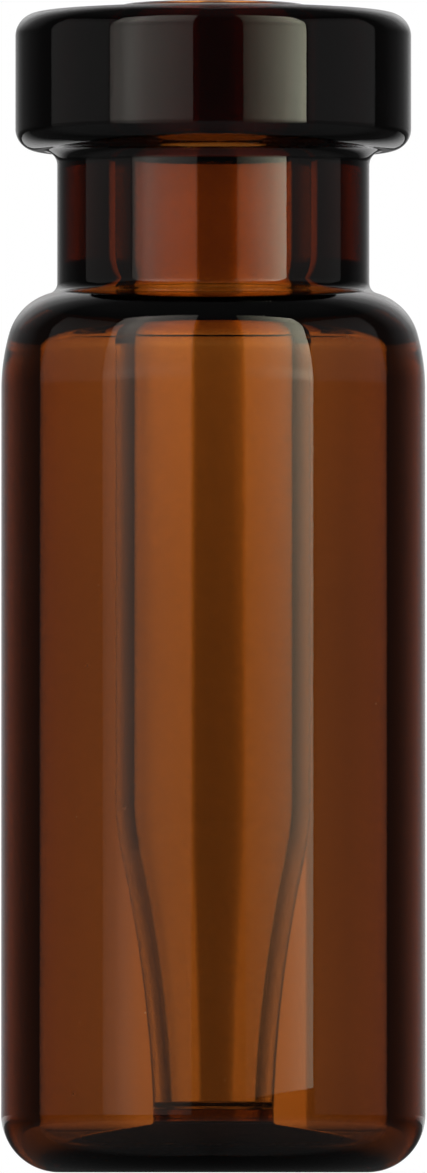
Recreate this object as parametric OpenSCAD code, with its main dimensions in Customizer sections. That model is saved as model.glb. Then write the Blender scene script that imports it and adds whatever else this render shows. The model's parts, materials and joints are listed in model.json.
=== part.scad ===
// Crimp-neck sample vial of amber glass, with a clear conical micro insert fused
// to a boss on its floor. Millimetres, +Z up, origin at the centre of the
// standing face. Each piece is blown or drawn as one body of revolution, so each
// is one closed outline of [radius, height] points, with its rounds as arcs.

/* [Body] */
// Height of the vial from its standing face to its mouth
vial_h = 32; // [31:0.5:40]
// Outside diameter of the body
body_od = 11.7; // [11.4:0.1:12.4]
// Thickness of the body's side wall
body_wall = 1.05; // [0.8:0.05:1.2]
// Height at which the straight side ends
body_h = 21.6; // [16:0.2:22]
// Radius of the outside corner round the base
heel_r = 1.6; // [1.2:0.1:1.8]
// Depth of the push-up under the base, at its middle
punt_h = 0.25; // [0.1:0.05:0.4]
// Width of the flat ring that the vial stands on
stand_w = 0.8; // [0.5:0.1:1.2]

/* [Cavity floor] */
// Thickness of the glass under the cavity, beside the wall
floor_t = 0.8; // [0.6:0.05:1.3]
// Radius of the cavity's corner between wall and floor
cavity_heel_r = 0.7; // [0.4:0.05:1]
// Slope of the floor up towards the middle, in degrees
crown_angle = 15; // [6:0.5:18]
// Height of the boss above the floor at its foot
boss_h = 0.33; // [0.3:0.01:0.6]
// Radius of the fillet round the foot of the boss
boss_root_r = 0.15; // [0.1:0.01:0.24]

/* [Shoulder] */
// Radius of the long ease from the side into the shoulder
ease_r = 5.7; // [4.5:0.1:7]
// Angle that the ease turns through, in degrees
ease_angle = 15.6; // [10:0.2:18]
// Radius of the shoulder's main round
shoulder_r = 1.6; // [1.4:0.1:1.8]
// Radius of the fillet between shoulder and neck
neck_root_r = 0.3; // [0.2:0.05:0.5]

/* [Under the shoulder] */
// Drop from the centre of the shoulder's round to the centre of the cavity's
cavity_drop = 0.25; // [0.1:0.05:0.6]
// Radius of the cavity's round under the shoulder
cavity_shoulder_r = 1; // [0.7:0.05:1.1]
// Steepest lean of the glass under the shoulder, in degrees
flare_angle = 60; // [50:1:62]
// Radius of the flare that leads from the cavity into the neck's bore
flare_r = 1.9; // [1.2:0.1:2.1]

/* [Neck and crimp bead] */
// Outside diameter of the neck
neck_od = 8.62; // [8.4:0.1:9]
// Outside diameter of the crimp bead
bead_od = 10.93; // [10.6:0.05:11.2]
// Height of the crimp bead from its underside to the mouth
bead_h = 3.8; // [3:0.1:4.2]
// Radius of the bead's upper corner
bead_top_r = 0.64; // [0.3:0.02:0.8]
// Radius of the bead's lower corner
bead_under_r = 0.6; // [0.3:0.02:0.7]
// Radius of the fillet between neck and bead
bead_root_r = 0.4; // [0.2:0.02:0.45]
// Radius of the mouth's inner edge
mouth_r = 0.35; // [0.2:0.05:0.5]

/* [Micro insert] */
// Outside diameter of the insert's straight tube
insert_od = 5.42; // [5.2:0.02:5.6]
// Clearance all round between the insert and the neck's bore
insert_clearance = 0.19; // [0.1:0.01:0.25]
// Thickness of the insert's wall
insert_wall = 0.52; // [0.4:0.02:0.6]
// Height by which the insert's rim stands above the mouth
insert_proud = 0.23; // [0.05:0.02:0.4]
// Height at which the straight tube ends and the taper starts
taper_top = 10.4; // [9:0.1:14]
// Radius of the bend from the tube into the taper
bend_r = 8.4; // [5:0.2:9]
// Radius of the hollow sweep down the taper
sweep_r = 38; // [30:1:50]
// Outside diameter of the tip and of the boss that it is fused to
tip_od = 3.34; // [3.2:0.02:3.6]
// Width of the ledge round the tip's spigot, which rests on the rim of the boss
ledge_w = 0.37; // [0.2:0.01:0.4]
// Height of the spigot, and the depth of the socket that it fills
spigot_h = 0.24; // [0.16:0.01:0.26]
// Thickness of the insert's closed bottom above the spigot
tip_floor_t = 0.06; // [0.04:0.01:0.3]
// Radius of the corner inside the insert's bottom
tip_corner_r = 0.15; // [0.1:0.05:0.4]

/* [Hidden] */
arc_step = 5;
turn_fn = 180;
amber = [0.42, 0.2, 0.06, 0.85];
clear = [0.86, 0.9, 0.88, 0.4];

body_r = body_od / 2;
cavity_r = body_r - body_wall;
neck_r = neck_od / 2;
insert_r = insert_od / 2;
bore_r = insert_r + insert_clearance;
bead_r = bead_od / 2;
bead_z = vial_h - bead_h;
tip_r = tip_od / 2;
spigot_r = tip_r - ledge_w;

// A point at a distance and an angle from c
function polar(c, r, a) = c + r * [cos(a), sin(a)];

// Points along an arc about c from angle a0 to a1, either way round
function arc(c, r, a0, a1) =
    let (n = max(2, ceil(abs(a1 - a0) / arc_step)))
    [for (i = [0 : n]) polar(c, r, a0 + (a1 - a0) * i / n)];

// The meeting point of a circle about p and one about q, on the right of the line from p to q
function circles_meet(p, rp, q, rq) =
    let (d = norm(q - p), u = (q - p) / d, a = (rp * rp - rq * rq + d * d) / (2 * d))
    p + a * u + sqrt(rp * rp - a * a) * [u[1], -u[0]];

// Centres of the shoulder's arcs: the ease and the round share a tangent, and the
// root fillet touches both the round and the neck
ease_c = [body_r - ease_r, body_h];
shoulder_c = polar(ease_c, ease_r - shoulder_r, ease_angle);
root_angle = acos((neck_r + neck_root_r - shoulder_c[0]) / (shoulder_r + neck_root_r));
root_c = polar(shoulder_c, shoulder_r + neck_root_r, root_angle);

// The push-up is a shallow dome whose rim is the inner edge of the standing ring
punt_rim = body_r - heel_r - stand_w;
punt_r = (punt_rim * punt_rim + punt_h * punt_h) / (2 * punt_h);
punt_c = [0, punt_h - punt_r];
punt_angle = asin(punt_rim / punt_r);

// The cavity's heel and the boss's root fillet both touch the sloped floor line
cavity_heel_c = [cavity_r - cavity_heel_r, floor_t + cavity_heel_r];
floor_start = polar(cavity_heel_c, cavity_heel_r, 270 - crown_angle);
function floor_z(r) = floor_start[1] + (floor_start[0] - r) * tan(crown_angle);
boss_root_x = tip_r + boss_root_r;
boss_root_c = [boss_root_x, floor_z(boss_root_x) + boss_root_r / cos(crown_angle)];
boss_top = floor_z(tip_r) + boss_h;
seat_z = boss_top - spigot_h;

// Under the shoulder the cavity turns in on its round, runs straight at the steepest
// lean and turns up on the flare, which touches the neck's bore
cavity_shoulder_c = [cavity_r - cavity_shoulder_r, shoulder_c[1] - cavity_drop];
flare_x = bore_r + flare_r;
flare_across = (cavity_shoulder_c[0] - flare_x) * cos(flare_angle) + cavity_shoulder_r + flare_r;
flare_c = [flare_x, cavity_shoulder_c[1] + flare_across / sin(flare_angle)];
mouth_c = [bore_r + mouth_r, vial_h - mouth_r];

// The outside of the vial, from the middle of the push-up to the top of the bead
vial_outside = concat(
    arc(punt_c, punt_r, 90, 90 - punt_angle),
    arc([body_r - heel_r, heel_r], heel_r, -90, 0),
    arc(ease_c, ease_r, 0, ease_angle),
    arc(shoulder_c, shoulder_r, ease_angle, root_angle),
    arc(root_c, neck_root_r, root_angle + 180, 180),
    arc([neck_r + bead_root_r, bead_z - bead_root_r], bead_root_r, 180, 90),
    arc([bead_r - bead_under_r, bead_z + bead_under_r], bead_under_r, -90, 0),
    arc([bead_r - bead_top_r, vial_h - bead_top_r], bead_top_r, 0, 90)
);

// The inside of the vial, from the mouth down to the middle of the boss's socket
vial_inside = concat(
    arc(mouth_c, mouth_r, 90, 180),
    arc(flare_c, flare_r, 180, 180 + flare_angle),
    arc(cavity_shoulder_c, cavity_shoulder_r, flare_angle, 0),
    arc(cavity_heel_c, cavity_heel_r, 0, -90 - crown_angle),
    arc(boss_root_c, boss_root_r, 270 - crown_angle, 180),
    [[tip_r, boss_top], [spigot_r, boss_top], [spigot_r, seat_z], [0, seat_z]]
);

// The insert's outside bends in from the tube, then sweeps hollow to the tip, where it
// steps in to the spigot. Its inside has the same centres, so the wall keeps one
// thickness.
rim_r = insert_wall / 2;
rim_c = [insert_r - rim_r, vial_h + insert_proud - rim_r];
bend_c = [insert_r - bend_r, taper_top];
sweep_c = circles_meet([tip_r, boss_top], sweep_r, bend_c, bend_r + sweep_r);
bend_angle = atan2(bend_c[1] - sweep_c[1], bend_c[0] - sweep_c[0]);
foot_angle = 180 - asin((boss_top - sweep_c[1]) / sweep_r);
inner_sweep_r = sweep_r + insert_wall;
tip_floor_z = boss_top + tip_floor_t;
corner_angle = 180 - asin((tip_floor_z + tip_corner_r - sweep_c[1]) / (inner_sweep_r + tip_corner_r));
corner_c = polar(sweep_c, inner_sweep_r + tip_corner_r, corner_angle);

insert_outline = concat(
    [[0, seat_z], [spigot_r, seat_z], [spigot_r, boss_top]],
    arc(sweep_c, sweep_r, foot_angle, bend_angle),
    arc(bend_c, bend_r, bend_angle - 180, 0),
    arc(rim_c, rim_r, 0, 180),
    arc(bend_c, bend_r - insert_wall, 0, bend_angle - 180),
    arc(sweep_c, inner_sweep_r, bend_angle, corner_angle),
    arc(corner_c, tip_corner_r, corner_angle - 180, -90),
    [[0, tip_floor_z]]
);

// The amber vial: base with its boss, body, shoulder, neck and crimp bead
module vial_body() {
    color(amber)
        rotate_extrude($fn = turn_fn)
            polygon(concat(vial_outside, vial_inside));
}

// The clear insert, its spigot face to face with the boss's socket
module micro_insert() {
    color(clear)
        rotate_extrude($fn = turn_fn)
            polygon(insert_outline);
}

vial_body();
micro_insert();
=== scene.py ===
import json
import math
import bpy
import numpy as np
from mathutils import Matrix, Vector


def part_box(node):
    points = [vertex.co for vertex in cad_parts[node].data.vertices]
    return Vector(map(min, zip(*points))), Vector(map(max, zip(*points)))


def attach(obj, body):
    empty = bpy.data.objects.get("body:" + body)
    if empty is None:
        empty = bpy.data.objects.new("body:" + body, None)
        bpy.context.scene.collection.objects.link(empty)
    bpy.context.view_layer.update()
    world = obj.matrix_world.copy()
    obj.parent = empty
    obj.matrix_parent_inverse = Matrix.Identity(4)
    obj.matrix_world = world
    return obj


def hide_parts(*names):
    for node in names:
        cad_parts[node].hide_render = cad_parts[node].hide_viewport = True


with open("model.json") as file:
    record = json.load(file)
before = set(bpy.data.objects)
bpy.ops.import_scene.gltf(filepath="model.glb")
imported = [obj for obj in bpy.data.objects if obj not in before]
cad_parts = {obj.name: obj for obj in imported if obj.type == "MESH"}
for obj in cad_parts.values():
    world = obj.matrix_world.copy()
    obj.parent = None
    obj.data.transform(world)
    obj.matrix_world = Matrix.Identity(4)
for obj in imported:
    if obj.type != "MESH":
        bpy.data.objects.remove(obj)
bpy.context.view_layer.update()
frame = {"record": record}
scene = bpy.context.scene
mm = 0.001
print("stage: frame loaded")

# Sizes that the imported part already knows, in millimetres
mounts = {m["name"]: m for m in frame["record"]["mounts"]}
_, vialHigh = (np.array(corner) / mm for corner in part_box("vial_body"))
insertLow, insertHigh = (np.array(corner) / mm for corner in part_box("micro_insert"))
bodyRadius = float(mounts["body_barrel"]["dims"]["r_mm"])
beadRadius = float(mounts["crimp_bead"]["dims"]["r_mm"])
vialHeight = float(vialHigh[2])
seatHeight = float(insertLow[2])
rimHeight = float(insertHigh[2])
insertRadius = float(insertHigh[0])

# Degrees between the points of an arc, by the kind of arc
arcStep = dict(sweep=0.4, dome=0.8, long=1.0, flare=2.0, corner=3.0, beadRoot=5.0, root=6.0, edge=15.0)


def polar(centre, radius, degrees):
    # centre + radius (cos t, sin t)
    t = math.radians(degrees)
    return np.array([centre[0] + radius * math.cos(t), centre[1] + radius * math.sin(t)])


def arc(centre, radius, start, end, hollow=False, step=arcStep["corner"]):
    # Rows of [r, z, nr, nz]: centre + radius (cos t, sin t), with the normal along
    # the radius, or against it where the glass is hollow there
    count = max(2, math.ceil(abs(end - start) / step)) + 1
    t = np.radians(np.linspace(start, end, count))
    out = np.column_stack([np.cos(t), np.sin(t)])
    return np.column_stack([np.asarray(centre) + radius * out, -out if hollow else out])


def turned(name, outline, around):
    # x = r(u) cos v, y = r(u) sin v, z = z(u), with the outline's own normals
    v = np.linspace(0, 2 * np.pi, around, endpoint=False)
    cosV = np.cos(v)[None, :]
    sinV = np.sin(v)[None, :]
    ring = outline[1:-1]

    def spun(r, z):
        grid = np.stack([r[:, None] * cosV, r[:, None] * sinV, np.repeat(z[:, None], around, 1)], 2)
        return grid.reshape(-1, 3)

    poles = outline[[0, -1]]
    poleCo = np.column_stack([np.zeros((2, 2)), poles[:, 1]])
    poleNormals = np.column_stack([np.zeros((2, 2)), poles[:, 3]])
    co = np.vstack([spun(ring[:, 0], ring[:, 1]), poleCo]) * mm
    normals = np.vstack([spun(ring[:, 2], ring[:, 3]), poleNormals])
    i, j = np.meshgrid(np.arange(len(ring) - 1), np.arange(around), indexing="ij")
    k = (j + 1) % around
    quads = np.stack([i * around + j, i * around + k, (i + 1) * around + k, (i + 1) * around + j], 2)
    a = np.arange(around)
    b = (a + 1) % around
    first = len(co) - 2
    last = len(co) - 1
    top = (len(ring) - 1) * around
    fans = np.vstack([
        np.column_stack([np.full(around, first), b, a]),
        np.column_stack([np.full(around, last), top + a, top + b]),
    ])
    mesh = bpy.data.meshes.new(name)
    mesh.from_pydata(co.tolist(), [], quads.reshape(-1, 4).tolist() + fans.tolist())
    mesh.polygons.foreach_set("use_smooth", np.ones(len(mesh.polygons), bool))
    mesh.update()
    mesh.normals_split_custom_set_from_vertices(normals.tolist())
    piece = bpy.data.objects.new(name, mesh)
    scene.collection.objects.link(piece)
    return piece


# The amber vial, in millimetres and degrees; around is how many steps one turn has
vialSizes = dict(
    wall=1.05, straightTop=21.6, heelRound=1.6, puntDepth=0.25, standWidth=0.8,
    floorThickness=0.8, cavityHeelRound=0.7, crownDegrees=15.0, bossRadius=1.67, bossRootRound=0.15,
    socketRadius=1.3, socketDepth=0.24,
    easeRound=5.7, easeDegrees=15.6, shoulderRound=1.6, neckRootRound=0.3,
    cavityDrop=0.25, cavityShoulderRound=1.0, flareDegrees=60.0, flareRound=1.9,
    neckRadius=4.31, neckBore=2.9, beadHeight=3.8, beadTopRound=0.64, beadUnderRound=0.6,
    beadRootRound=0.4, mouthRound=0.35, softEdge=0.04, seatGap=0.006, around=240,
)


def vialOutline(s):
    # The outside from the push-up's middle to the bead's top, then the inside down
    # to the boss: arcs joined by the straight runs that touch them
    easeC = np.array([bodyRadius - s["easeRound"], s["straightTop"]])
    shoulderC = polar(easeC, s["easeRound"] - s["shoulderRound"], s["easeDegrees"])
    rootRadius = s["shoulderRound"] + s["neckRootRound"]
    rootReach = s["neckRadius"] + s["neckRootRound"] - shoulderC[0]
    rootDegrees = math.degrees(math.acos(rootReach / rootRadius))
    neckRootC = polar(shoulderC, rootRadius, rootDegrees)
    beadUnder = vialHeight - s["beadHeight"]
    beadRootC = [s["neckRadius"] + s["beadRootRound"], beadUnder - s["beadRootRound"]]
    puntRim = bodyRadius - s["heelRound"] - s["standWidth"]
    puntRadius = (puntRim ** 2 + s["puntDepth"] ** 2) / (2 * s["puntDepth"])
    puntDegrees = math.degrees(math.asin(puntRim / puntRadius))
    cavity = bodyRadius - s["wall"]
    cavityHeelC = np.array([cavity - s["cavityHeelRound"], s["floorThickness"] + s["cavityHeelRound"]])
    floorStart = polar(cavityHeelC, s["cavityHeelRound"], 270 - s["crownDegrees"])
    crown = math.radians(s["crownDegrees"])
    rootX = s["bossRadius"] + s["bossRootRound"]
    rootZ = floorStart[1] + (floorStart[0] - rootX) * math.tan(crown) + s["bossRootRound"] / math.cos(crown)
    roundC = np.array([cavity - s["cavityShoulderRound"], shoulderC[1] - s["cavityDrop"]])
    flare = math.radians(s["flareDegrees"])
    flareX = s["neckBore"] + s["flareRound"]
    flareWay = np.array([math.cos(flare), math.sin(flare)])
    touch = roundC + (s["cavityShoulderRound"] + s["flareRound"]) * flareWay
    flareC = np.array([flareX, touch[1] + (touch[0] - flareX) / math.tan(flare)])
    edge = s["softEdge"]
    seat = seatHeight - s["seatGap"]
    bossTop = seat + s["socketDepth"]
    socket = s["socketRadius"] + s["seatGap"]
    return np.vstack([
        arc([0, s["puntDepth"] - puntRadius], puntRadius, 90, 90 - puntDegrees, True, arcStep["dome"]),
        arc([bodyRadius - s["heelRound"], s["heelRound"]], s["heelRound"], -90, 0),
        arc(easeC, s["easeRound"], 0, s["easeDegrees"], step=arcStep["long"]),
        arc(shoulderC, s["shoulderRound"], s["easeDegrees"], rootDegrees),
        arc(neckRootC, s["neckRootRound"], rootDegrees + 180, 180, True, arcStep["root"]),
        arc(beadRootC, s["beadRootRound"], 180, 90, True, arcStep["beadRoot"]),
        arc([beadRadius - s["beadUnderRound"], beadUnder + s["beadUnderRound"]], s["beadUnderRound"], -90, 0),
        arc([beadRadius - s["beadTopRound"], vialHeight - s["beadTopRound"]], s["beadTopRound"], 0, 90),
        arc([s["neckBore"] + s["mouthRound"], vialHeight - s["mouthRound"]], s["mouthRound"], 90, 180),
        arc(flareC, s["flareRound"], 180, 180 + s["flareDegrees"], step=arcStep["flare"]),
        arc(roundC, s["cavityShoulderRound"], s["flareDegrees"], 0, True, arcStep["flare"]),
        arc(cavityHeelC, s["cavityHeelRound"], 0, -90 - s["crownDegrees"], True),
        arc([rootX, rootZ], s["bossRootRound"], 270 - s["crownDegrees"], 180, True, arcStep["root"]),
        arc([s["bossRadius"] - edge, bossTop - edge], edge, 0, 90, step=arcStep["edge"]),
        arc([socket + edge, bossTop - edge], edge, 90, 180, step=arcStep["edge"]),
        arc([socket - edge, seat + edge], edge, 0, -90, True, arcStep["edge"]),
        [[0, seat, 0, 1]],
    ])


vialGlass = turned("amberVial", vialOutline(vialSizes), vialSizes["around"])
print("stage: amber vial turned")

# The clear insert, in millimetres
insertSizes = dict(
    wall=0.52, taperTop=10.4, bendRound=8.4, sweepRound=38.0, tipRadius=1.67, bottomThickness=0.06,
    cornerRound=0.15, spigotRadius=1.3, spigotHeight=0.24, softEdge=0.04, around=180,
)


def insertOutline(s):
    # Tube, bend and hollow sweep outside, and the same centres inside, one wall apart.
    # The sweep's centre is where a circle about the tip meets one about the bend's centre.
    rim = s["wall"] / 2
    bendC = np.array([insertRadius - s["bendRound"], s["taperTop"]])
    step = seatHeight + s["spigotHeight"]
    tip = np.array([s["tipRadius"], step])
    reach = s["bendRound"] + s["sweepRound"]
    span = np.linalg.norm(bendC - tip)
    along = (s["sweepRound"] ** 2 - reach ** 2 + span ** 2) / (2 * span)
    u = (bendC - tip) / span
    sweepC = tip + along * u + math.sqrt(s["sweepRound"] ** 2 - along ** 2) * np.array([u[1], -u[0]])
    bend = math.degrees(math.atan2(bendC[1] - sweepC[1], bendC[0] - sweepC[0]))
    edge = s["softEdge"]
    foot = 180 - math.degrees(math.asin((step + edge - sweepC[1]) / s["sweepRound"]))
    inner = s["sweepRound"] + s["wall"]
    cornerZ = step + s["bottomThickness"] + s["cornerRound"]
    corner = 180 - math.degrees(math.asin((cornerZ - sweepC[1]) / (inner + s["cornerRound"])))
    cornerC = polar(sweepC, inner + s["cornerRound"], corner)
    footC = polar(sweepC, s["sweepRound"] + edge, foot)
    return np.vstack([
        [[0, seatHeight, 0, -1]],
        arc([s["spigotRadius"] - edge, seatHeight + edge], edge, -90, 0, step=arcStep["edge"]),
        arc([s["spigotRadius"] + edge, step - edge], edge, 180, 90, True, arcStep["edge"]),
        arc([footC[0], step + edge], edge, -90, foot - 180, step=arcStep["edge"]),
        arc(sweepC, s["sweepRound"], foot, bend, True, arcStep["sweep"]),
        arc(bendC, s["bendRound"], bend - 180, 0, step=arcStep["long"]),
        arc([insertRadius - rim, rimHeight - rim], rim, 0, 180),
        arc(bendC, s["bendRound"] - s["wall"], 0, bend - 180, True, arcStep["long"]),
        arc(sweepC, inner, bend, corner, step=arcStep["sweep"]),
        arc(cornerC, s["cornerRound"], corner - 180, -90, True),
        [[0, step + s["bottomThickness"], 0, 1]],
    ])


insertGlass = turned("clearInsert", insertOutline(insertSizes), insertSizes["around"])
print("stage: clear insert turned")


def blankMaterial(name):
    # A material with an empty node tree, and that tree
    material = bpy.data.materials.new(name)
    material.use_nodes = True
    material.node_tree.nodes.clear()
    return material, material.node_tree


def ramp(tree, value, stops):
    # Straight runs between (place, level) stops, flat before the first and after the last
    low = stops[0][0]
    high = stops[-1][0]
    place = tree.nodes.new("ShaderNodeMapRange")
    place.inputs["From Min"].default_value = low
    place.inputs["From Max"].default_value = high
    tree.links.new(value, place.inputs["Value"])
    node = tree.nodes.new("ShaderNodeValToRGB")
    elements = node.color_ramp.elements
    midway = 0.5
    while len(elements) < len(stops):
        elements.new(midway)
    for element, (at, level) in zip(elements, stops):
        element.position = (at - low) / (high - low)
        element.color = (level, level, level, 1)
    tree.links.new(place.outputs[0], node.inputs[0])
    return node.outputs["Color"]


def maths(tree, operation, first, second=None):
    # The named operation on first and second, each a number or another node's output
    node = tree.nodes.new("ShaderNodeMath")
    node.operation = operation
    for socket, value in zip(node.inputs, (first, second)):
        if isinstance(value, (int, float)):
            socket.default_value = value
        elif value is not None:
            tree.links.new(value, socket)
    return node.outputs[0]


def plus(tree, first, second):
    # first + second
    return maths(tree, "ADD", first, second)


def times(tree, first, second):
    # first x second
    return maths(tree, "MULTIPLY", first, second)


def blend(tree, factor, first, second):
    # first x (1 - factor) + second x factor
    return plus(tree, times(tree, first, maths(tree, "SUBTRACT", 1.0, factor)), times(tree, second, factor))


def ease(tree, value, low, high):
    # 0 at low and 1 at high, with soft ends; low may be the larger
    node = tree.nodes.new("ShaderNodeMapRange")
    node.interpolation_type = "SMOOTHSTEP"
    node.inputs["From Min"].default_value = low
    node.inputs["From Max"].default_value = high
    tree.links.new(value, node.inputs["Value"])
    return node.outputs[0]


def stretched(tree, where, pitch):
    # where / pitch along x, y and z, so that one unit of a pattern is pitch millimetres
    scaled = tree.nodes.new("ShaderNodeVectorMath")
    scaled.operation = "DIVIDE"
    scaled.inputs[1].default_value = [size * mm for size in pitch]
    tree.links.new(where, scaled.inputs[0])
    return scaled.outputs[0]


def noise(tree, where, pitch, detail=0.0):
    # A cloud whose lumps are about pitch millimetres across along x, y and z
    cloud = tree.nodes.new("ShaderNodeTexNoise")
    cloud.inputs["Scale"].default_value = 1.0
    cloud.inputs["Detail"].default_value = detail
    tree.links.new(stretched(tree, where, pitch), cloud.inputs["Vector"])
    return cloud.outputs[0]


def split(tree, where):
    # The x, y and z of a place
    node = tree.nodes.new("ShaderNodeSeparateXYZ")
    tree.links.new(where, node.inputs[0])
    return node.outputs


def ownPlace(tree):
    # The place on the piece itself, which stays put when the piece or the camera moves
    return tree.nodes.new("ShaderNodeTexCoord").outputs["Object"]


# Pitches, widths, depths and heights in millimetres, and how much each mark adds to the roughness
glassFinish = dict(
    lineWidth=0.8, lineLength=16.0, lineDepth=0.0014,
    wavePitch=4.0, waveDepth=0.003,
    speckPitch=1.8, speckRadius=0.06, speckRoughness=0.5,
    smudgePitch=3.0, smudgeDetail=1.0, smudgeCloud=(0.6, 0.75),
    scuffPitch=0.25, scuffHeight=0.12, scuffCloud=(0.45, 0.6), scuffRoughness=0.35,
)


def glassFinishGroup():
    # Height is lines drawn along the glass plus slow waves, in millimetres. Roughness is smudges
    # plus specks plus scuffs round the standing ring. Tint goes from Thin to Thick with the waves.
    f = glassFinish
    group = bpy.data.node_groups.new("glassFinish", "ShaderNodeTree")
    sockets = (
        ("Where", "INPUT", "NodeSocketVector"), ("Lines", "INPUT", "NodeSocketFloat"),
        ("Smudges", "INPUT", "NodeSocketFloat"), ("Specks", "INPUT", "NodeSocketFloat"),
        ("Thin", "INPUT", "NodeSocketColor"), ("Thick", "INPUT", "NodeSocketColor"),
        ("Height", "OUTPUT", "NodeSocketFloat"), ("Roughness", "OUTPUT", "NodeSocketFloat"),
        ("Tint", "OUTPUT", "NodeSocketColor"),
    )
    for name, side, kind in sockets:
        group.interface.new_socket(name=name, in_out=side, socket_type=kind)
    given = group.nodes.new("NodeGroupInput").outputs
    result = group.nodes.new("NodeGroupOutput").inputs
    where = given["Where"]
    lines = noise(group, where, (f["lineWidth"], f["lineWidth"], f["lineLength"]))
    waves = noise(group, where, (f["wavePitch"],) * 3)
    drawn = plus(group, times(group, lines, f["lineDepth"]), times(group, waves, f["waveDepth"]))
    group.links.new(times(group, drawn, given["Lines"]), result["Height"])
    cells = group.nodes.new("ShaderNodeTexVoronoi")
    cells.inputs["Scale"].default_value = 1.0
    group.links.new(stretched(group, where, (f["speckPitch"],) * 3), cells.inputs["Vector"])
    speckMask = ease(group, cells.outputs["Distance"], f["speckRadius"] / f["speckPitch"], 0.0)
    specks = times(group, speckMask, given["Specks"])
    smudgeCloud = noise(group, where, (f["smudgePitch"],) * 3, f["smudgeDetail"])
    smudgeMask = ease(group, smudgeCloud, *f["smudgeCloud"])
    smudges = times(group, smudgeMask, given["Smudges"])
    low = ease(group, split(group, where)["Z"], f["scuffHeight"] * mm, 0.0)
    scuffMask = ease(group, noise(group, where, (f["scuffPitch"],) * 3), *f["scuffCloud"])
    scuffs = times(group, low, scuffMask)
    marks = plus(group, times(group, specks, f["speckRoughness"]), times(group, scuffs, f["scuffRoughness"]))
    group.links.new(plus(group, smudges, marks), result["Roughness"])
    tint = group.nodes.new("ShaderNodeMix")
    tint.data_type = "RGBA"
    mixSocket = dict(thin=6, thick=7, tint=2)  # the colour sockets, whose names repeat on this node
    group.links.new(waves, tint.inputs["Factor"])
    group.links.new(given["Thin"], tint.inputs[mixSocket["thin"]])
    group.links.new(given["Thick"], tint.inputs[mixSocket["thick"]])
    group.links.new(tint.outputs[mixSocket["tint"]], result["Tint"])
    return group


finishGroup = glassFinishGroup()


def glassMaterial(name, look):
    # Clear refracting glass whose depth of colour comes from absorb: after d millimetres
    # a share exp(-absorb d) of the red, green and blue is left
    material, tree = blankMaterial(name)
    nodes = tree.nodes
    links = tree.links
    out = nodes.new("ShaderNodeOutputMaterial")
    glass = nodes.new("ShaderNodeBsdfPrincipled")
    glass.inputs["IOR"].default_value = look["ior"]
    glass.inputs["Transmission Weight"].default_value = 1.0
    links.new(glass.outputs[0], out.inputs["Surface"])
    finish = nodes.new("ShaderNodeGroup")
    finish.node_tree = finishGroup
    finish.inputs["Lines"].default_value = look["lines"]
    finish.inputs["Smudges"].default_value = look["smudges"]
    finish.inputs["Specks"].default_value = look["specks"]
    finish.inputs["Thin"].default_value = (*look["thin"], 1)
    finish.inputs["Thick"].default_value = (*look["thick"], 1)
    links.new(ownPlace(tree), finish.inputs["Where"])
    bump = nodes.new("ShaderNodeBump")
    bump.inputs["Distance"].default_value = mm
    links.new(finish.outputs["Height"], bump.inputs["Height"])
    links.new(bump.outputs[0], glass.inputs["Normal"])
    links.new(finish.outputs["Roughness"], glass.inputs["Roughness"])
    links.new(finish.outputs["Tint"], glass.inputs["Base Color"])
    if look["absorb"]:
        headroom = 1.1  # keeps the strongest colour's socket above 0
        density = max(look["absorb"]) * headroom / mm
        volume = nodes.new("ShaderNodeVolumeAbsorption")
        volume.inputs["Density"].default_value = density
        volume.inputs["Color"].default_value = (*(1 - a / mm / density for a in look["absorb"]), 1)
        links.new(volume.outputs[0], out.inputs["Volume"])
    return material


amberLook = dict(
    ior=1.52, absorb=(1.07, 1.72, 2.8), lines=1.0, smudges=0.05, specks=0.9,
    thin=(1.0, 1.0, 1.0), thick=(0.97, 0.96, 0.95),
)
clearLook = dict(
    ior=1.48, absorb=None, lines=0.5, smudges=0.03, specks=0.4,
    thin=(1.0, 1.0, 1.0), thick=(0.985, 0.99, 0.985),
)
amberGlass = glassMaterial("amberGlass", amberLook)
clearGlass = glassMaterial("clearGlass", clearLook)
vialGlass.data.materials.append(amberGlass)
insertGlass.data.materials.append(clearGlass)
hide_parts("vial_body")
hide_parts("micro_insert")
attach(vialGlass, "root")
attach(insertGlass, "root")
print("stage: glass materials set")

# Each light card: bearings from the camera's side in degrees, distances and heights in
# millimetres, and its level across (0 to 1) and up (by height)
leftSoftCard = dict(
    bearings=(-61.5, -11.5), reach=(150.0, 105.0), low=(-2.7, -2.7), high=165.0,
    colour=(1.0, 0.93, 0.85), gain=3.57,
    across=[(0, 0.4), (0.12, 0.6), (0.2, 0.6), (0.3, 0.82), (0.37, 0.88), (0.45, 0.78), (0.55, 0.62),
            (0.7, 0.5), (1, 0.3)],
    up=[(-3, 0.14), (1, 0.2), (11, 0.2), (19, 0.21), (25, 0.25), (28, 0.28), (31, 0.38), (37, 0.44),
        (45, 0.36), (60, 0.35), (80, 0.5), (95, 0.68), (120, 0.6), (165, 0.7)],
)
rightSoftCard = dict(
    bearings=(17.0, 54.9), reach=(105.0, 150.0), low=(2.34, 2.85), high=165.0,
    colour=(1.0, 0.98, 0.76), gain=10.08,
    across=[(0, 0.06), (0.18, 0.14), (0.32, 0.22), (0.49, 0.34), (0.69, 0.54), (0.93, 0.76), (1, 0.8)],
    up=[(-3, 0.14), (1, 0.22), (11, 0.24), (19, 0.27), (25, 0.33), (28, 0.36), (31, 0.5), (37, 0.56),
        (45, 0.42), (60, 0.45), (80, 0.6), (95, 0.62), (113, 0.52), (165, 0.6)],
)
sidePanel = dict(
    reach=(200.0, 200.0), low=(-2.7, -2.7), high=165.0, gain=0.21,
    across=[(0, 0.8), (0.05, 1.0), (0.95, 1.0), (1, 0.8)],
    up=[(-3, 0.6), (20, 0.65), (24, 0.6), (29, 0.48), (33, 0.9), (37, 1.0), (100, 1.0), (165, 0.6)],
)
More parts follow.
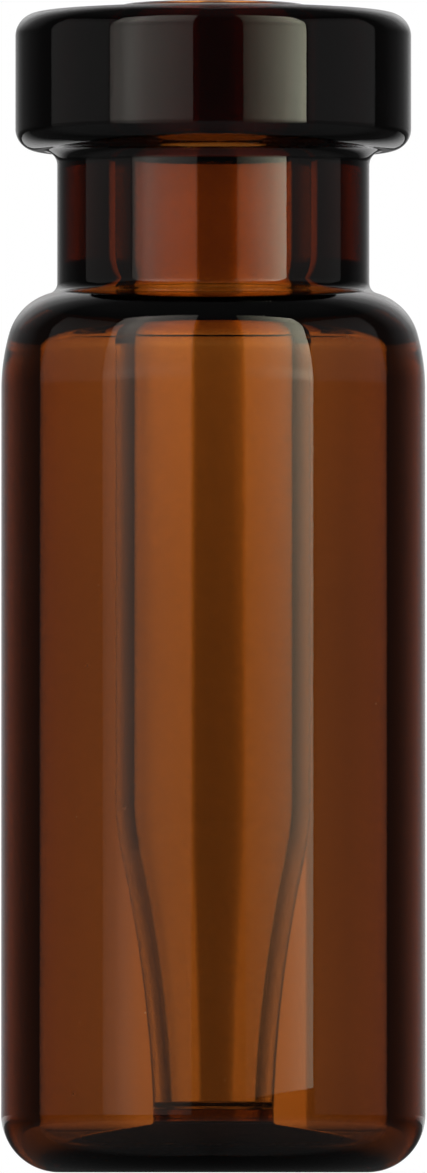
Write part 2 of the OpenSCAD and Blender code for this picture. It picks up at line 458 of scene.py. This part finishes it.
leftSidePanel = dict(sidePanel, bearings=(-108.0, -62.0), colour=(1.0, 0.98, 0.96))
rightSidePanel = dict(sidePanel, bearings=(56.0, 108.0), colour=(1.0, 0.98, 0.97))


def lightCard(name, card):
    # A flat upright card between two bearings: foot = reach (sin b, -cos b)
    bearings = np.radians(card["bearings"])
    foot = np.array(card["reach"])[:, None] * np.column_stack([np.sin(bearings), -np.cos(bearings)])
    lowLeft, lowRight = card["low"]
    high = card["high"]
    co = np.array([[*foot[0], lowLeft], [*foot[1], lowRight], [*foot[1], high], [*foot[0], high]]) * mm
    mesh = bpy.data.meshes.new(name)
    mesh.from_pydata(co.tolist(), [], [[0, 1, 2, 3]])
    uv = mesh.uv_layers.new(name="across")
    uv.data.foreach_set("uv", np.array([0, 0, 1, 0, 1, 1, 0, 1], float))
    piece = bpy.data.objects.new(name, mesh)
    scene.collection.objects.link(piece)
    material, tree = blankMaterial(name)
    place = tree.nodes.new("ShaderNodeUVMap")
    place.uv_map = "across"
    height = maths(tree, "DIVIDE", split(tree, ownPlace(tree))["Z"], mm)
    across = ramp(tree, split(tree, place.outputs[0])["X"], card["across"])
    level = times(tree, across, ramp(tree, height, card["up"]))
    light = tree.nodes.new("ShaderNodeEmission")
    light.inputs["Color"].default_value = (*card["colour"], 1)
    out = tree.nodes.new("ShaderNodeOutputMaterial")
    tree.links.new(times(tree, level, card["gain"]), light.inputs["Strength"])
    tree.links.new(light.outputs[0], out.inputs["Surface"])
    mesh.materials.append(material)
    piece.visible_camera = False
    piece.visible_transmission = False
    return piece


lightCard("leftSoftCard", leftSoftCard)
lightCard("rightSoftCard", rightSoftCard)
lightCard("leftSidePanel", leftSidePanel)
lightCard("rightSidePanel", rightSidePanel)
print("stage: light cards set")

# A painted reflection of the table lit beyond the shadow: a glowing card that only the glass's reflections
# see, in millimetres and degrees
tableGlow = dict(
    near=35.0, far=210.0, depth=-0.5, halfDegrees=42.0, corners=25, gain=0.65,
    across=[(0, 0.1), (0.08, 0.3), (0.18, 0.75), (0.28, 1.0), (0.72, 1.0), (0.82, 0.75), (0.92, 0.3),
            (1, 0.1)],
)


def tableCard():
    # A flat fan behind the vial, r (sin b, cos b) with r from near to far, whose level
    # follows the bearing b = atan2(x, y)
    t = tableGlow
    half = math.radians(t["halfDegrees"])
    turns = np.linspace(-half, half, t["corners"])
    rim = np.column_stack([np.sin(turns), np.cos(turns), np.zeros(len(turns))])
    drop = np.array([0, 0, t["depth"]])
    co = np.vstack([rim * t["near"] + drop, rim * t["far"] + drop]) * mm
    n = len(turns)
    mesh = bpy.data.meshes.new("tableGlow")
    mesh.from_pydata(co.tolist(), [], [[i, n + i, n + i + 1, i + 1] for i in range(n - 1)])
    piece = bpy.data.objects.new("tableGlow", mesh)
    scene.collection.objects.link(piece)
    material, tree = blankMaterial("tableGlow")
    place = split(tree, ownPlace(tree))
    bearing = maths(tree, "ARCTAN2", place["X"], place["Y"])
    middle = 0.5
    across = plus(tree, maths(tree, "DIVIDE", bearing, 2 * half), middle)
    light = tree.nodes.new("ShaderNodeEmission")
    out = tree.nodes.new("ShaderNodeOutputMaterial")
    tree.links.new(times(tree, ramp(tree, across, t["across"]), t["gain"]), light.inputs["Strength"])
    tree.links.new(light.outputs[0], out.inputs["Surface"])
    mesh.materials.append(material)
    material.cycles.emission_sampling = "NONE"
    piece.visible_camera = False
    piece.visible_diffuse = False
    piece.visible_transmission = False
    piece.visible_shadow = False


tableCard()
print("stage: lit table set")

# Ray depths, each just under the count that it tells: once is any, insert is through the insert
rayDepth = dict(once=0.5, insert=5.5)

# The glowing card close behind the vial, in millimetres, a painted backlight: its emitted level by x and by
# height paints the bright and dark bands seen through the glass, as the vial's walls show it (outside) and as
# the insert does (inside)
glow = dict(
    back=6.2, wide=12.0, foot=-4.0, top=32.0, gain=6.8,
    outside=[(-12, 0.6), (-9, 0.6), (-6.7, 0.62), (-5.6, 0.54), (-4, 0.47), (-3.3, 0.56), (-2.5, 0.8),
             (-1, 0.9), (1, 0.85), (3.1, 0.95), (3.2, 0.42), (5, 0.42), (5.9, 0.5), (6.8, 0.58),
             (9, 0.6), (12, 0.6)],
    inside=[(-12, 0.6), (-4.2, 0.75), (-2.9, 0.95), (-1.0, 1.0), (-0.72, 0.36), (0, 0.33), (0.8, 0.38),
            (1.2, 0.56), (1.42, 0.96), (2.6, 0.96), (12, 1.1)],
    outsideUp=[(-4, 0.0), (0, 0.0), (1.6, 0.45), (3, 0.5), (16, 0.5), (22, 0.625), (25, 0.75),
               (27, 0.8), (30, 0.4), (32, 0.4)],
    insideUp=[(-4, 0.0), (0, 0.0), (1.2, 0.3), (2, 0.39), (4, 0.4), (9, 0.41), (16, 0.48), (22, 0.61),
              (25, 0.75), (27, 0.8), (30, 0.4), (32, 0.4)],
)


def glowCard():
    # An upright glowing card, a painted backlight, that only shows through the glass: level = across(x) up(z)
    wide = glow["wide"]
    back = glow["back"]
    foot = glow["foot"]
    top = glow["top"]
    co = np.array([[-wide, back, foot], [wide, back, foot], [wide, back, top], [-wide, back, top]]) * mm
    mesh = bpy.data.meshes.new("glowCard")
    mesh.from_pydata(co.tolist(), [], [[0, 1, 2, 3]])
    piece = bpy.data.objects.new("glowCard", mesh)
    scene.collection.objects.link(piece)
    material, tree = blankMaterial("glowCard")
    place = split(tree, ownPlace(tree))
    x = maths(tree, "DIVIDE", place["X"], mm)
    z = maths(tree, "DIVIDE", place["Z"], mm)
    path = tree.nodes.new("ShaderNodeLightPath").outputs
    inInsert = maths(tree, "GREATER_THAN", path["Transmission Depth"], rayDepth["insert"])
    across = blend(tree, inInsert, ramp(tree, x, glow["outside"]), ramp(tree, x, glow["inside"]))
    up = blend(tree, inInsert, ramp(tree, z, glow["outsideUp"]), ramp(tree, z, glow["insideUp"]))
    light = tree.nodes.new("ShaderNodeEmission")
    tree.links.new(times(tree, times(tree, across, up), glow["gain"]), light.inputs["Strength"])
    clear = tree.nodes.new("ShaderNodeBsdfTransparent")
    mixed = tree.nodes.new("ShaderNodeMixShader")
    out = tree.nodes.new("ShaderNodeOutputMaterial")
    tree.links.new(maths(tree, "GREATER_THAN", path["Glossy Depth"], rayDepth["once"]), mixed.inputs[0])
    tree.links.new(light.outputs[0], mixed.inputs[1])
    tree.links.new(clear.outputs[0], mixed.inputs[2])
    tree.links.new(mixed.outputs[0], out.inputs["Surface"])
    mesh.materials.append(material)
    material.cycles.emission_sampling = "NONE"
    piece.visible_camera = False
    piece.visible_diffuse = False
    piece.visible_glossy = False
    piece.visible_shadow = False


glowCard()
print("stage: painted_backlight set")

# The pale floor, in millimetres; around is how many sides its disc has
floorSizes = dict(radius=45.0, fade=30.0, around=96, colour=0.94)


def roundFloor():
    # A disc, radius (cos v, sin v), whose edge fades away into the pale surroundings
    around = floorSizes["around"]
    pale = floorSizes["colour"]
    v = np.linspace(0, 2 * np.pi, around, endpoint=False)
    radius = (floorSizes["radius"] + floorSizes["fade"]) * mm
    co = np.column_stack([radius * np.cos(v), radius * np.sin(v), np.zeros(around)])
    mesh = bpy.data.meshes.new("floor")
    mesh.from_pydata(co.tolist(), [], [list(range(around))])
    floor = bpy.data.objects.new("floor", mesh)
    scene.collection.objects.link(floor)
    material, tree = blankMaterial("paleFloor")
    nodes = tree.nodes
    links = tree.links
    out = nodes.new("ShaderNodeOutputMaterial")
    matt = nodes.new("ShaderNodeBsdfDiffuse")
    matt.inputs["Color"].default_value = (pale, pale, pale, 1)
    clear = nodes.new("ShaderNodeBsdfTransparent")
    mixed = nodes.new("ShaderNodeMixShader")
    length = nodes.new("ShaderNodeVectorMath")
    length.operation = "LENGTH"
    links.new(ownPlace(tree), length.inputs[0])
    links.new(ease(tree, length.outputs["Value"], floorSizes["radius"] * mm, radius), mixed.inputs[0])
    links.new(matt.outputs[0], mixed.inputs[1])
    links.new(clear.outputs[0], mixed.inputs[2])
    links.new(mixed.outputs[0], out.inputs["Surface"])
    mesh.materials.append(material)
    floor.visible_glossy = False
    return floor


roundFloor()
print("stage: floor set")

# What the glass shows from far off: a pale backdrop behind, dark in front and overhead, and
# a dim table. Straight through the glass it is white. Levels go by the bearing off straight
# back and, in the lists with Up in their names, by the rise above level, both in degrees.
roomLevels = dict(
    # the backdrop as the outside of the glass mirrors it
    mirrored=[(-180, 0.0), (-60, 0.0), (-45, 0.02), (-34, 0.045), (-26, 0.1), (-23, 0.14), (-20, 0.2),
              (-16.5, 0.25), (-10, 0.35), (0, 0.42), (10, 0.5), (16.5, 0.38), (20, 0.3), (23, 0.22),
              (26, 0.17), (34, 0.08), (45, 0.03), (60, 0.0), (180, 0.0)],
    mirroredUp=[(-90, 0), (-12, 0), (-6, 0.06), (-3, 0.2), (-1, 1), (10, 1), (18, 0), (90, 0)],
    # the same backdrop higher up, where it is broader and brighter
    upper=[(0, 0.5), (6, 0.65), (10, 0.95), (15, 0.9), (20, 0.75), (25, 0.5), (31, 0.42), (36, 0.2),
           (45, 0.1), (60, 0.0), (180, 0.0)],
    upperUp=[(-90, 0), (6, 0), (10, 0.3), (15, 0.8), (20, 1), (40, 1), (50, 0.8), (60, 0.5), (70, 0.32),
             (90, 0.26)],
    # the backdrop as it shows inside the vial's walls, and inside the insert's
    piped=[(0, 1.0), (11, 1.0), (20, 0.45), (32, 0.15), (39, 0.09), (47, 0.05), (60, 0.015), (80, 0.0),
           (180, 0.0)],
    insertPiped=[(-180, 0.0), (-80, 0.0), (-60, 0.03), (-47, 0.11), (-39, 0.19), (-32, 0.24), (-20, 0.5),
                 (-11, 0.9), (11, 1.0), (20, 0.66), (32, 0.38), (39, 0.31), (47, 0.19), (60, 0.05),
                 (80, 0.0), (180, 0.0)],
    pipedUp=[(-90, 0.0), (-24, 0.0), (-18, 0.05), (-12, 0.6), (-8, 1.0), (-3, 0.8), (-1, 0.66),
             (4.5, 0.66), (8, 0.04), (14, 0), (90, 0)],
    pipedGain=4.05,
    # the dim table, and what is left all round
    table=[(0, 0.04), (60, 0.05), (80, 0.14), (110, 0.16), (150, 0.16), (180, 0.12)],
    tableUp=[(-90, 0.6), (-60, 0.75), (-15, 1), (-3, 0.0), (90, 0.0)],
    ambientUp=[(-90, 0.0), (-8, 0.0), (-3, 0.03), (40, 0.03), (55, 0.06), (90, 0.06)],
    # what lights the floor, and what shows straight through
    diffuse=0.96, straight=1.0,
)


def room():
    # level = backdrop + table + what is left all round, where each is level(bearing) level(rise),
    # with bearing = atan2(x, y) and rise = asin(z) of the ray
    r = roomLevels
    world = bpy.data.worlds.new("studio")
    scene.world = world
    world.use_nodes = True
    tree = world.node_tree
    tree.nodes.clear()
    out = tree.nodes.new("ShaderNodeOutputWorld")
    back = tree.nodes.new("ShaderNodeBackground")
    way = split(tree, tree.nodes.new("ShaderNodeTexCoord").outputs["Generated"])
    bearing = maths(tree, "DEGREES", maths(tree, "ARCTAN2", way["X"], way["Y"]))
    offBack = maths(tree, "ABSOLUTE", bearing)
    rise = maths(tree, "DEGREES", maths(tree, "ARCSINE", way["Z"]))
    path = tree.nodes.new("ShaderNodeLightPath").outputs
    inWalls = maths(tree, "GREATER_THAN", path["Transmission Depth"], rayDepth["once"])
    inInsert = maths(tree, "GREATER_THAN", path["Transmission Depth"], rayDepth["insert"])
    bounced = maths(tree, "GREATER_THAN", path["Glossy Depth"], rayDepth["once"])
    near = times(tree, ramp(tree, bearing, r["mirrored"]), ramp(tree, rise, r["mirroredUp"]))
    high = times(tree, ramp(tree, offBack, r["upper"]), ramp(tree, rise, r["upperUp"]))
    piped = blend(tree, inInsert, ramp(tree, offBack, r["piped"]), ramp(tree, bearing, r["insertPiped"]))
    pipedRise = times(tree, ramp(tree, rise, r["pipedUp"]), r["pipedGain"])
    backdrop = blend(tree, inWalls, plus(tree, near, high), times(tree, piped, pipedRise))
    table = times(tree, ramp(tree, offBack, r["table"]), ramp(tree, rise, r["tableUp"]))
    dim = plus(tree, table, ramp(tree, rise, r["ambientUp"]))
    seen = blend(tree, bounced, r["straight"], plus(tree, backdrop, dim))
    level = blend(tree, path["Is Diffuse Ray"], seen, r["diffuse"])
    back.inputs["Color"].default_value = (1, 1, 1, 1)
    tree.links.new(level, back.inputs["Strength"])
    tree.links.new(back.outputs[0], out.inputs["Surface"])


room()
print("stage: room set")

# Distances in millimetres from the vial's foot; the clip distances are in metres
view = dict(
    distance=545.0, height=0.0, aim=16.16, centreX=0.006, pixelsPerMm=36.25, frameHeight=1173,
    sensor=36.0, clipStart=0.01, clipEnd=10,
)
# How often a ray may bounce, which thick glass needs many of
bounces = dict(all=32, transmission=32, glossy=16, transparent=16)

cameraData = bpy.data.cameras.new("camera")
camera = bpy.data.objects.new("camera", cameraData)
scene.collection.objects.link(camera)
camera.location = (view["centreX"] * mm, -view["distance"] * mm, view["height"] * mm)
camera.rotation_euler = (math.pi / 2 + math.atan2(view["aim"] - view["height"], view["distance"]), 0, 0)
cameraData.sensor_width = view["sensor"]
cameraData.lens = view["sensor"] * view["distance"] * view["pixelsPerMm"] / view["frameHeight"]
cameraData.clip_start = view["clipStart"]
cameraData.clip_end = view["clipEnd"]
scene.camera = camera
scene.view_settings.view_transform = "Standard"
scene.cycles.max_bounces = bounces["all"]
scene.cycles.transmission_bounces = bounces["transmission"]
scene.cycles.glossy_bounces = bounces["glossy"]
scene.cycles.transparent_max_bounces = bounces["transparent"]
print("stage: camera set")
